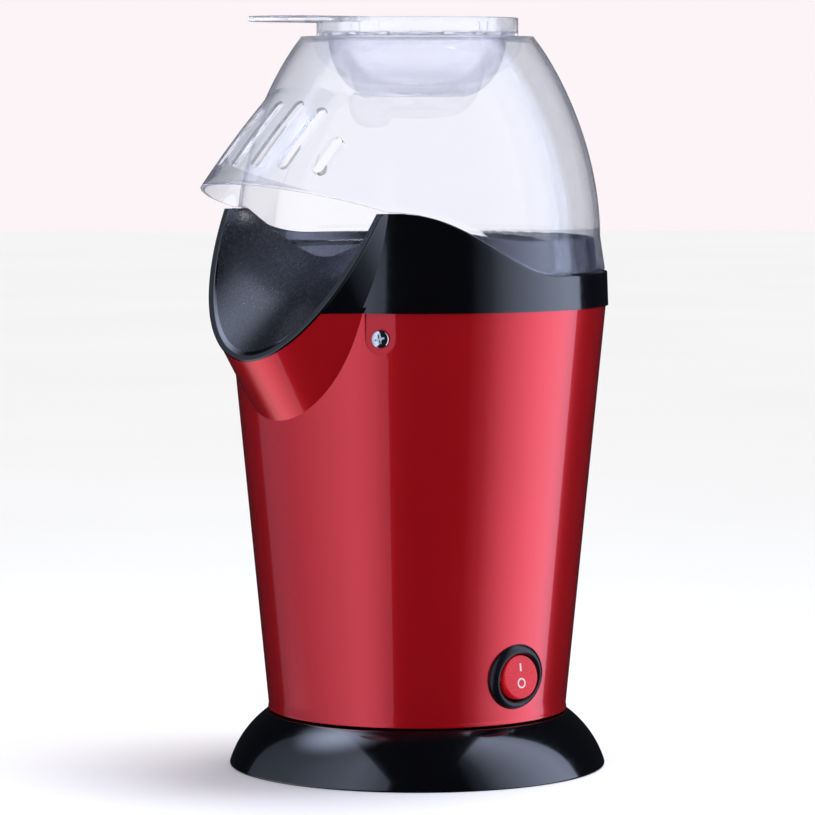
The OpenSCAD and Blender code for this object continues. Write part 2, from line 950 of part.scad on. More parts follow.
// Routes of the three internal wires
mains_lead = [[2, 36, 34], [4, 29, 34], [12, 26, 31], [22, 22, 31], [29, 14, 33], [31, 6, 35]];
motor_lead = [[-8.6, -30.8, 14.8], [-6, -33, 22], [0, -32, 30], [12, -28, 35], [22, -22, 37],
    [27, -12, 38], [30.5, -5, 38]];
heater_lead = [[-29.4, -26.9, 14.8], [-36, -22, 24], [-38.5, -10, 34], [-38.5, 6, 42],
    [-41, 20, 49], [-45, 25, 58], [-46.5, 24, 82], [-52, 20, 96], [-53, 18, 120], [-51.5, 12, 142]];

module lead_wires() {
    color("white") {
        wire(mains_lead, 1.1, 6);
        wire(motor_lead, 1.1, 6);
        wire(heater_lead, 1.1, 6);
    }
}

// A crimp sleeve round the middle of one straight, level stretch of a lead
module sleeve(from, to, length) {
    translate((from + to) / 2)
        rotate([90, 0, atan2(to[0] - from[0], from[1] - to[1])])
            difference() {
                cylinder(h = length, r = 2.6, center = true);
                cylinder(h = length + 2, r = 1.5, center = true);
            }
}

module wire_connectors() {
    color("ivory") {
        sleeve(mains_lead[0], mains_lead[1], 4.5);
        sleeve(mains_lead[2], mains_lead[3], 7);
    }
}

base_skirt();
bottom_cover();
rubber_feet();
bottom_screws();
body_shell();
collar();
collar_screws();
dome_cover();
measuring_cup();
switch_bezel();
switch_rocker();
rocker_marks();
switch_plunger();
switch_lever();
switch_terminals();
cord_grommet();
cord_clamp();
clamp_screws();
popping_chamber();
chamber_seal();
heat_shield();
heater_shell();
mica_sleeve();
mica_cross();
heater_coil();
thermostat();
thermal_fuse();
fan_cover();
fan_base();
fan_screws();
impeller();
impeller_nut();
motor_can();
motor_end_cap();
motor_shaft();
armature();
commutator();
motor_magnets();
motor_bearings();
carbon_brushes();
motor_screws();
rectifier_board();
rectifier_diodes();
filter_capacitor();
lead_wires();
wire_connectors();
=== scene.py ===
"""Looks of the popcorn maker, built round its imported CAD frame.

Shapes are worked out in millimetres, +Z up, with the spout towards -Y and the switch towards +X.
`fwd` is a distance towards the spout, so a point's Y is -fwd.
"""

import json
from math import acos, asin, atan, atan2, cos, hypot, pi, radians, sin, sqrt, tan

import bmesh
import bpy
from mathutils import Matrix, Vector

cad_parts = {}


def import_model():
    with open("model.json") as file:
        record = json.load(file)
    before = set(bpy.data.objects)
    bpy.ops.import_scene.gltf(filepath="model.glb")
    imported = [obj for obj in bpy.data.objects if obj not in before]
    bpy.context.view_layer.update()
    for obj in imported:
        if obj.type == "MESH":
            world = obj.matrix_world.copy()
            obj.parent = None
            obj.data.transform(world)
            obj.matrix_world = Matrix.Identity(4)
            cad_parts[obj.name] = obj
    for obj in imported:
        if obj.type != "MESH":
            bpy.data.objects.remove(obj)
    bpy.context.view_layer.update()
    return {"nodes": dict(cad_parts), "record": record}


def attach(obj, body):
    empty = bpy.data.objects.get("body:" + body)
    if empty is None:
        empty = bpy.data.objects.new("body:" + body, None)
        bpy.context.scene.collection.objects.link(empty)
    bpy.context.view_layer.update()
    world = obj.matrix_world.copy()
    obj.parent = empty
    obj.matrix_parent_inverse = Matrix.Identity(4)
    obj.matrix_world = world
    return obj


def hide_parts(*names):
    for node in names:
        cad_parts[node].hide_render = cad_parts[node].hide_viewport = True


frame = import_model()

# ---- Driving sizes, in millimetres and degrees -------------------------------

MM = 0.001
BASE_R, BASE_H, FLARE_R = 69.5, 20, 37
WALL = 2.2
BODY_Z, BODY_LOW_R, BODY_TOP_R, COLLAR_Z = 20.6, 54.8, 69.3, 170
BODY_SLOPE = (BODY_TOP_R - BODY_LOW_R) / (COLLAR_Z - BODY_Z)
SPOUT_A, SPOUT_B, SPOUT_TILT = 46.6, 60, radians(32)
SPOUT_SET_BACK = 73.5
MOUTH_LEAN, LIP_REACH, LIP_Z = radians(26.6), 78.8, 155.2
MOUTH_A, MOUTH_B, MOUTH_DROP, RIM_BACK = 45, 75.6, 1.2, 0.9
COLLAR_R, COLLAR_SLOPE, COLLAR_PROUD = 70.2, -0.036, 0.4
PEAK_Z, BACK_Z, RING_Z, RING_IN_R, RING_CURVE = 205, 182.4, 194.9, 62.8, 0.0053
EDGE_START_FWD, EDGE_RUN = -8, 56
FUNNEL_Z = 191.5
THROAT_R, THROAT_Z, THROAT_LOW_Z = 42.8, 186, 178.5
DAM_FWD, DAM_HALF_W, DAM_Z = 43.4, 45.4, 188.8
SCREW_Z, SCREW_ANGLE = 161, radians(40)
TAB_R, TAB_DEPTH = 5.5, 0.7
DOME_Z, DOME_TOP_R, CLEAR = 268, 42.2, 1.8
DOME_HOLE_R = 33.2
HOOD_R, HOOD_FWD, HOOD_AT_Z, HOOD_TIP_Z, HOOD_TIP_FWD = 46, 40.9, 214, 216, 88
HOOD_RUN, HOOD_SWELL, SWELL_Z, SWELL_H = 0.94, 1.2, 212, 38
PEAK_FWD = 50
SLOTS = [(6, 222, 245), (18, 221.5, 242.5), (30, 220, 232)]
SLOT_W = 4
CUP_RIM_R, CUP_RIM_H, CUP_BOTTOM_Z, CUP_BOWL_R, CUP_FOOT_R, CUP_WALL = 36.9, 6.8, 245.8, 32.6, 15.2, 1.5
HANDLE_W, HANDLE_T, HANDLE_REACH = 29.6, 2, 70
SWITCH_Z, SWITCH_HOLE_R, BEZEL_R, CAVITY_R = 38, 10.3, 12, 8.55
ROCKER_R, ROCKER_FLAT, ROCKER_TILT = 8.2, 2.8, radians(12)
SWITCH_R = BODY_LOW_R + BODY_SLOPE * (SWITCH_Z - BODY_Z)
AT_SWITCH = Matrix.Translation((SWITCH_R, 0, SWITCH_Z)) @ Matrix.Rotation(pi / 2 + atan(BODY_SLOPE), 4, "Y")
CORD_Z, CORD_HOLE_R = 34, 5.5
VIEW_TURN = radians(51)


# ---- Small tools --------------------------------------------------------------

def lerp(a, b, t):
    return a + (b - a) * t


def mix(p, q, t):
    return tuple(lerp(a, b, t) for a, b in zip(p, q))


def spread(a, b, n):
    return [lerp(a, b, i / (n - 1)) for i in range(n)]


def ease(t):
    t = min(max(t, 0), 1)
    return t * t * (3 - 2 * t)


def root(f, a, b):
    """Where f changes sign between a and b."""
    rising = f(b) > f(a)
    for _ in range(50):
        m = (a + b) / 2
        if (f(m) > 0) == rising:
            b = m
        else:
            a = m
    return (a + b) / 2


def polar(r, turn, z):
    """A point at radius r, turned from the spout towards the switch."""
    return (r * sin(turn), -r * cos(turn), z)


def soften(points, radii, steps=4):
    """The polyline with each corner that has a radius replaced by a curve."""
    out = [points[0]]
    for before, corner, after, r in zip(points, points[1:], points[2:], radii):
        if r == 0:
            out.append(corner)
            continue
        reach_in = min(r / max((Vector(corner) - Vector(before)).length, 1e-6), 0.45)
        reach_out = min(r / max((Vector(after) - Vector(corner)).length, 1e-6), 0.45)
        start, end = mix(corner, before, reach_in), mix(corner, after, reach_out)
        for i in range(steps + 1):
            t = i / steps
            out.append(mix(mix(start, corner, t), mix(corner, end, t), t))
    return out + [points[-1]]


class Surface:
    """Quads gathered from grids of points, in millimetres, and made into one object."""

    def __init__(self):
        self.points, self.faces = [], []

    def grid(self, rows, closed=False):
        start, width = len(self.points), len(rows[0])
        for row in rows:
            self.points += row
        for i in range(len(rows) - 1):
            for j in range(width if closed else width - 1):
                a, b = start + i * width + j, start + i * width + (j + 1) % width
                self.faces.append([a, b, b + width, a + width])
        return self

    def face(self, loop):
        start = len(self.points)
        self.points += loop
        self.faces.append(list(range(start, start + len(loop))))
        return self

    def mesh(self, name):
        data = bpy.data.meshes.new(name)
        data.from_pydata([Vector(p) * MM for p in self.points], [], self.faces)
        bm = bmesh.new()
        bm.from_mesh(data)
        bmesh.ops.remove_doubles(bm, verts=bm.verts, dist=0.004 * MM)
        bmesh.ops.dissolve_degenerate(bm, edges=bm.edges, dist=0.002 * MM)
        bmesh.ops.recalc_face_normals(bm, faces=bm.faces)
        if bm.calc_volume(signed=True) < 0:
            bmesh.ops.reverse_faces(bm, faces=bm.faces)
        bm.to_mesh(data)
        bm.free()
        return data

    def object(self, name):
        o = bpy.data.objects.new(name, self.mesh(name))
        bpy.context.scene.collection.objects.link(o)
        return o


def turned(profile, steps=160):
    """A closed surface of revolution about Z from a closed outline of (radius, height)."""
    loop = profile + profile[:1]
    rows = [[polar(r, 2 * pi * i / steps, z) for r, z in loop] for i in range(steps)]
    return Surface().grid(rows + rows[:1])


def outline(points, radii, steps=4):
    """An outline of (radius, height) with softened corners; the ends stay as they are."""
    flat = soften([(r, z, 0) for r, z in points], radii, steps)
    return [(r, z) for r, z, _ in flat]


def applied(o, *cutters):
    """The object with its modifiers applied and the cutters removed."""
    data = bpy.data.meshes.new_from_object(o.evaluated_get(bpy.context.evaluated_depsgraph_get()))
    o.modifiers.clear()
    o.data = data
    for cutter in cutters:
        bpy.data.objects.remove(cutter)
    return o


def carved(o, cutter, operation="DIFFERENCE"):
    m = o.modifiers.new("carve", "BOOLEAN")
    m.operation, m.solver, m.object = operation, "EXACT", cutter
    return applied(o, cutter)


def shade(o, angle=32):
    for p in o.data.polygons:
        p.use_smooth = True
    o.data.set_sharp_from_angle(angle=radians(angle))
    return o


def placed(surface, place):
    surface.points = [tuple(place @ Vector(p)) for p in surface.points]
    return surface


def prism(shape, low, high, place):
    """A closed prism over a flat outline, from low to high along its place's own Z."""
    bottom, top = [(x, y, low) for x, y in shape], [(x, y, high) for x, y in shape]
    return placed(Surface().grid([bottom, top], closed=True).face(bottom).face(top), place)


def joined(*surfaces):
    s = Surface()
    for other in surfaces:
        start = len(s.points)
        s.points += other.points
        s.faces += [[i + start for i in f] for f in other.faces]
    return s


def round_outline(r, n=48):
    return [(r * cos(2 * pi * i / n), r * sin(2 * pi * i / n)) for i in range(n)]


def finish_piece(o, body, node, slot, angle=32):
    shade(o, angle)
    o.data.materials.clear()
    o.data.materials.append(MATERIALS[slot])
    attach(o, body)
    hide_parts(node)
    return o


# ---- Materials ------------------------------------------------------------------

class Nodes:
    """Short names for building a material's nodes."""

    def __init__(self, name):
        self.material = bpy.data.materials.new(name)
        self.material.use_nodes = True
        self.tree = self.material.node_tree
        self.shader = self.tree.nodes["Principled BSDF"]
        self.where = self.tree.nodes.new("ShaderNodeTexCoord").outputs["Object"]

    def add(self, kind, inputs=None, **settings):
        n = self.tree.nodes.new(kind)
        for k, v in settings.items():
            setattr(n, k, v)
        for k, v in (inputs or {}).items():
            if isinstance(v, bpy.types.NodeSocket):
                self.tree.links.new(v, n.inputs[k])
            else:
                n.inputs[k].default_value = v
        return n

    def noise(self, scale, detail=3, stretch=(1, 1, 1)):
        spot = self.add("ShaderNodeMapping", {"Vector": self.where, "Scale": stretch})
        n = self.add("ShaderNodeTexNoise", {"Vector": spot.outputs["Vector"], "Scale": scale,
                                            "Detail": detail})
        return n.outputs["Fac"]

    def ramp(self, fac, low, high, at=(0.3, 0.7)):
        n = self.add("ShaderNodeValToRGB", {"Fac": fac})
        for e, p, c in zip(n.color_ramp.elements, at, (low, high)):
            e.position, e.color = p, (*c, 1)
        return n.outputs["Color"]

    def between(self, fac, low, high):
        n = self.add("ShaderNodeMapRange", {"Value": fac, "From Min": 0.3, "From Max": 0.7,
                                            "To Min": low, "To Max": high})
        return n.outputs["Result"]

    def bump(self, height, strength, depth_mm):
        n = self.add("ShaderNodeBump", {"Height": height, "Strength": strength, "Distance": depth_mm * MM})
        self.tree.links.new(n.outputs["Normal"], self.shader.inputs["Normal"])

    def feed(self, **sockets):
        for k, v in sockets.items():
            socket = self.shader.inputs[k.replace("_", " ")]
            if isinstance(v, bpy.types.NodeSocket):
                self.tree.links.new(v, socket)
            else:
                socket.default_value = v


def finish_of(slot, low, high, rough, scale=900, grain=0.15, depth=0.02, stretch=(1, 1, 1), patch=40,
              **facts):
    """A finish whose colour and roughness drift a little and whose surface has a fine grain."""
    n = Nodes(slot + "_finish")
    drift = n.noise(patch, 4)
    fine = n.noise(scale, 2, stretch)
    n.feed(Base_Color=n.ramp(drift, low, high), Roughness=n.between(fine, *rough), **facts)
    n.bump(fine, grain, depth)
    return n.material


def red_paint():
    """Pearl lacquer: fine bright flake under a smooth clear coat."""
    n = Nodes("red_paint_finish")
    flake = n.noise(5200, 1)
    drift = n.noise(14, 3)
    base = n.ramp(drift, (0.62, 0.003, 0.009), (0.68, 0.004, 0.012))
    lit = n.add("ShaderNodeMix", {"Factor": n.between(flake, 0, 0.3), "A": base,
                                  "B": (0.76, 0.012, 0.024, 1)}, data_type="RGBA")
    n.feed(Base_Color=lit.outputs["Result"], Roughness=n.between(flake, 0.20, 0.27), Metallic=0.62)
    n.feed(Coat_Weight=1.0, Coat_Roughness=0.035, Coat_IOR=1.5)
    n.bump(n.noise(70, 2), 0.02, 0.05)
    return n.material


def gloss_black():
    n = Nodes("black_gloss_finish")
    n.feed(Base_Color=n.ramp(n.noise(30, 3), (0.0010, 0.0010, 0.0014), (0.0018, 0.0018, 0.0026)),
           Roughness=n.between(n.noise(420, 3), 0.10, 0.16))
    n.feed(Specular_IOR_Level=0.8, Coat_Weight=0.6, Coat_Roughness=0.05)
    n.bump(n.noise(55, 2), 0.02, 0.05)
    return n.material


STRAIGHT_THROUGH = 0.3  # share of the light that passes the clear parts unbent


def clear_plastic():
    """Clear moulding that lets light through in its shadow, with a faint blue-lilac body colour."""
    n = Nodes("clear_finish")
    n.feed(Base_Color=n.ramp(n.noise(20, 2), (0.948, 0.952, 0.996), (0.96, 0.964, 1.0)),
           Roughness=n.between(n.noise(260, 2), 0.0, 0.03))
    n.feed(Transmission_Weight=1.0, IOR=1.28)
    n.bump(n.noise(35, 2), 0.03, 0.06)
    open_light = n.add("ShaderNodeBsdfTransparent", {"Color": (0.975, 0.978, 1.0, 1)})
    shadow = n.add("ShaderNodeLightPath").outputs["Is Shadow Ray"]
    share = n.add("ShaderNodeMath", {0: shadow, 1: STRAIGHT_THROUGH}, operation="MAXIMUM").outputs["Value"]
    both = n.add("ShaderNodeMixShader", {0: share, 1: n.shader.outputs["BSDF"],
                                         2: open_light.outputs["BSDF"]})
    n.tree.links.new(both.outputs["Shader"], n.tree.nodes["Material Output"].inputs["Surface"])
    return n.material


STEEL = dict(scale=300, grain=0.2, stretch=(1, 1, 14), Metallic=1.0)
MATERIALS = {
    "red_paint": red_paint(),
    "black_gloss": gloss_black(),
    "clear": clear_plastic(),
    "black_matte": finish_of("black_matte", (0.014,) * 3, (0.024, 0.024, 0.026), (0.45, 0.6),
                             grain=0.4, depth=0.06),
    "black_satin": finish_of("black_satin", (0.003, 0.003, 0.005), (0.006, 0.006, 0.009), (0.24, 0.3),
                             grain=0.0),
    "rubber": finish_of("rubber", (0.012,) * 3, (0.02,) * 3, (0.65, 0.8), grain=0.4, depth=0.05),
    "zinc": finish_of("zinc", (0.50, 0.50, 0.47), (0.66, 0.65, 0.60), (0.25, 0.4), Metallic=1.0),
    "chrome": finish_of("chrome", (0.72, 0.73, 0.75), (0.82, 0.83, 0.85), (0.06, 0.12),
                        grain=0.05, Metallic=1.0),
    "rocker_red": finish_of("rocker_red", (0.58, 0.004, 0.010), (0.72, 0.010, 0.022), (0.22, 0.34),
                            scale=1500, grain=0.25, Specular_IOR_Level=0.35,
                            Coat_Weight=0.15, Coat_Roughness=0.1),
    "mark_white": finish_of("mark_white", (0.72, 0.62, 0.63), (0.82, 0.72, 0.73), (0.4, 0.5)),
    "white_plastic": finish_of("white_plastic", (0.66, 0.64, 0.58), (0.74, 0.72, 0.66), (0.4, 0.5),
                               grain=0.3),
    "brass": finish_of("brass", (0.62, 0.44, 0.17), (0.74, 0.56, 0.26), (0.2, 0.35), Metallic=1.0),
    "aluminium": finish_of("aluminium", (0.66, 0.67, 0.68), (0.78, 0.78, 0.79), (0.22, 0.36), **STEEL),
    "silicone": finish_of("silicone", (0.42, 0.06, 0.03), (0.5, 0.08, 0.04), (0.5, 0.6), grain=0.3),
    "steel": finish_of("steel", (0.5, 0.5, 0.5), (0.6, 0.6, 0.61), (0.28, 0.42), **STEEL),
    "mica": finish_of("mica", (0.42, 0.33, 0.2), (0.6, 0.5, 0.34), (0.4, 0.55),
                      scale=500, grain=0.5, patch=160),
    "nichrome": finish_of("nichrome", (0.26, 0.24, 0.22), (0.36, 0.33, 0.3), (0.35, 0.5), Metallic=1.0),
    "copper": finish_of("copper", (0.5, 0.18, 0.07), (0.66, 0.28, 0.13), (0.25, 0.4), Metallic=1.0),
    "ferrite": finish_of("ferrite", (0.025,) * 3, (0.05,) * 3, (0.5, 0.65), grain=0.5),
    "board_green": finish_of("board_green", (0.015, 0.11, 0.04), (0.03, 0.16, 0.06), (0.3, 0.4), patch=220),
    "cap_sleeve": finish_of("cap_sleeve", (0.03, 0.07, 0.2), (0.05, 0.1, 0.26), (0.3, 0.4)),
    "wire_white": finish_of("wire_white", (0.66, 0.65, 0.62), (0.76, 0.75, 0.72), (0.4, 0.5)),
}

for part in frame["record"]["subparts"]:
    data = frame["nodes"][part["node"]].data
    data.materials.clear()
    data.materials.append(MATERIALS[part["material_slot"]])


# ---- Base -----------------------------------------------------------------------

def flare_arc(inset, n=22):
    """Points down the base's flare, an arc through its top and its standing edge."""
    top, foot = Vector((55.4, BASE_H)), Vector((BASE_R, 0.6))
    along = (foot - top).normalized()
    half = (foot - top).length / 2
    centre = (top + foot) / 2 - sqrt(FLARE_R ** 2 - half ** 2) * Vector((-along.y, along.x))
    a, b = (atan2(p.y - centre.y, p.x - centre.x) for p in (top, foot))
    r = FLARE_R - inset
    return [(centre.x + r * cos(t), centre.y + r * sin(t)) for t in spread(a, b, n)]


def base_skirt():
    """The flared base with five air notches at its back."""
    notch_half, notch_top, notch_r = 3, 2.6, 60
    out, inner = flare_arc(0), flare_arc(WALL)[::-1]
    profile = outline([(50, 26), (51.9, 26), (51.9, BASE_H), out[0]], [0.4, 0.3])
    profile = profile[:-1] + outline([(53, BASE_H), out[0], out[1]], [0.8])[1:-1] + out[1:-1]
    profile += outline([out[-2], (BASE_R, 0.5), (BASE_R - 0.7, 0), (BASE_R - 3.2, 0)], [0.5, 0.5])[1:]
    profile += inner[:-1] + [(52.5, BASE_H - WALL), (50, BASE_H - WALL)]
    columns = [(pi + 2 * pi * i / 180, False) for i in range(180)]
    for k in range(-2, 3):
        middle, half = pi + radians(12) * k, notch_half / (BASE_R - 2)
        columns = [c for c in columns if abs((c[0] - middle + pi) % (2 * pi) - pi) > half + 0.012]
        columns += [(middle - half, False), (middle - half, True), (middle, True),
                    (middle + half, True), (middle + half, False)]
    rows = []
    for turn, lifted in order_columns(columns):
        rows.append([polar(r, turn, max(z, notch_top) if lifted and r > notch_r else z)
                     for r, z in profile + profile[:1]])
    return Surface().grid(rows + rows[:1]).object("base_flare")


def order_columns(columns):
    """Columns in order round the base; at a notch's edge the lifted one is on the notch's side."""
    out = []
    for turn, lifted in sorted(set(columns), key=lambda c: c[0]):
        if out and abs(out[-1][0] - turn) < 1e-9 and len(out) > 1 and out[-2][1] == lifted:
            out.insert(-1, (turn, lifted))
        else:
            out.append((turn, lifted))
    return out


finish_piece(base_skirt(), "housing", "base_skirt", "black_gloss")


# ---- Leaning oval tube that the spout, its bulge and the chute's rim share -------

def on_tube(turn, along, grow=0):
    """A point on the tube, turned from its front, at a distance along its axis, as (x, fwd, z)."""
    across = (SPOUT_B + grow) * cos(turn) - SPOUT_SET_BACK
    return ((SPOUT_A + grow) * sin(turn), across * cos(SPOUT_TILT) + along * sin(SPOUT_TILT),
            -across * sin(SPOUT_TILT) + along * cos(SPOUT_TILT))


def along_to_height(turn, z, grow=0):
    return (z - on_tube(turn, 0, grow)[2]) / cos(SPOUT_TILT)


def along_to_mouth(turn, gap, grow=0):
    _, fwd, z = on_tube(turn, 0, grow)
    behind = (fwd - LIP_REACH) * cos(MOUTH_LEAN) + (z - LIP_Z) * sin(MOUTH_LEAN)
    return (-gap - behind) / sin(SPOUT_TILT + MOUTH_LEAN)


def along_to_cone(turn, r, z0, slope, grow=0):
    """Where the tube's line at this turn comes out of a cone of radius r at height z0."""
    x, fwd, z = on_tube(turn, 0, grow)
    wall = r + slope * (z - z0)
    s, c = sin(SPOUT_TILT), slope * cos(SPOUT_TILT)
    a, b, k = s * s - c * c, fwd * s - wall * c, x * x + fwd * fwd - wall * wall
    return (-b + sqrt(max(b * b - a * k, 0))) / a


def world(p):
    return (p[0], -p[1], p[2])


def mirrored(values):
    """The values with their negatives before them, for both sides of the spout."""
    return [-v for v in values[:0:-1]] + values


# ---- Body shell -------------------------------------------------------------------

def body_out(turn):
    return along_to_cone(turn, BODY_LOW_R, BODY_Z, BODY_SLOPE)


def body_shell():
    gap = 1.1
    mouth_turn = root(lambda t: along_to_mouth(t, gap) - along_to_height(t, COLLAR_Z), 0.1, 1.3)
    end_turn = root(lambda t: body_out(t) - along_to_height(t, COLLAR_Z), 0.4, 1.5)
    turns = mirrored(spread(0, mouth_turn, 30) + spread(mouth_turn, end_turn, 22)[1:])
    low = [on_tube(t, body_out(t)) for t in turns]
    high = [on_tube(t, min(along_to_mouth(t, gap), along_to_height(t, COLLAR_Z))) for t in turns]
    s = Surface().grid([[world(mix(a, b, v)) for a, b in zip(low, high)] for v in spread(0, 1, 16)])
    # the cone: its top edge follows the crease under the bulge, then the collar
    tops = [(atan2(p[0], p[1]), p[2]) for p in low]
    tops += [(a, COLLAR_Z) for a in spread(tops[-1][0], 2 * pi + tops[0][0], 170)[1:]]
    bead = [(0, -0.25), (0.15, 0.1), (0.4, 0.3), (1.0, 0.34), (1.3, 0.25), (1.5, 0.08), (1.7, 0)]
    rows = [[polar(BODY_LOW_R + BODY_SLOPE * dz + dr, a, BODY_Z + dz) for a, _ in tops] for dz, dr in bead]
    for v in spread(0, 1, 34)[1:]:
        heights = [lerp(BODY_Z + 1.7, z, v) for _, z in tops]
        rows.append([polar(BODY_LOW_R + BODY_SLOPE * (z - BODY_Z), a, z) for (a, _), z in zip(tops, heights)])
    s.grid(rows)
    o = s.object("red_body")
    skin = o.modifiers.new("wall", "SOLIDIFY")
    skin.thickness, skin.offset, skin.use_even_offset = WALL * MM, -1, True
    applied(o)
    tab = [(TAB_R * cos(a), TAB_R * sin(a)) for a in spread(pi, 2 * pi, 24)] + [(TAB_R, 14), (-TAB_R, 14)]
    cutters = []
    for side in (-1, 1):
        face = Matrix.Rotation(side * SCREW_ANGLE, 4, "Z") @ Matrix.Translation((0, 0, SCREW_Z))
        face = face @ Matrix.Rotation(pi / 2, 4, "X")
        r = BODY_LOW_R + BODY_SLOPE * (SCREW_Z - BODY_Z)
        cutters.append(prism(tab, r - TAB_DEPTH, r + 9, face))
        cutters.append(prism(round_outline(1.8, 20), r - 6, r - TAB_DEPTH + 0.01, face))
    cutters.append(prism(round_outline(SWITCH_HOLE_R), -12, 8, AT_SWITCH))
    cord = Matrix.Translation((0, 40, CORD_Z)) @ Matrix.Rotation(-pi / 2, 4, "X")
    cutters.append(prism(round_outline(CORD_HOLE_R), 0, 30, cord))
    return carved(o, joined(*cutters).object("body_cutters"))


finish_piece(body_shell(), "housing", "body_shell", "red_paint", 26)


# ---- Collar and chute ---------------------------------------------------------------

def collar_edge(fwd):
    return BACK_Z + (PEAK_Z - BACK_Z) * ease((fwd - EDGE_START_FWD) / EDGE_RUN)


def ring_edge(fwd):
    return min(PEAK_Z, RING_Z + RING_CURVE * max(0, fwd + 1) ** 2)


def ring_out(z):
    return 66.6 if z < 184 else lerp(66.6, 64.8, (z - 184) / 11) if z < 195 else 64.8 - 0.06 * (z - 195)


def band_r(z):
    return COLLAR_R + COLLAR_SLOPE * (z - COLLAR_Z)


def band_out(turn):
    return along_to_cone(turn, COLLAR_R, COLLAR_Z, COLLAR_SLOPE, COLLAR_PROUD)


def crease_turn(z):
    """Turn on the tube where it comes out of the collar at a height."""
    return root(lambda t: on_tube(t, band_out(t), COLLAR_PROUD)[2] - z, 0.5, 1.75)


def crease_angle(z):
    x, fwd, _ = on_tube(crease_turn(z), band_out(crease_turn(z)), COLLAR_PROUD)
    return atan2(x, fwd)


def crest(angle):
    """The dam's crest, which rises from the middle to the ring on each side."""
    x = DAM_FWD * tan(angle)
    t = abs(x) / DAM_HALF_W
    return (x, DAM_FWD, DAM_Z + (PEAK_Z - DAM_Z) * (sqrt(t * t + 0.09) - 0.3) / 0.744)


def rim_point(turn, behind, grow):
    """A point of the mouth's rim, at a depth behind the mouth's plane."""
    return on_tube(turn, along_to_mouth(turn, behind, grow), grow)


def rim_inner(angle):
    """The mouth's inner edge, an oval in the mouth's plane, from the lip upwards."""
    up = MOUTH_B * (1 - cos(angle)) - MOUTH_DROP
    return (MOUTH_A * sin(angle), LIP_REACH - up * sin(MOUTH_LEAN), LIP_Z + up * cos(MOUTH_LEAN))


def mouth_meets(z, gap, low, high):
    """Turn on the collar's tube, between two others, where the mouth's plane is at a height."""
    def past(turn):
        return along_to_mouth(turn, gap, COLLAR_PROUD) - along_to_height(turn, z, COLLAR_PROUD)
    return root(past, low, high)


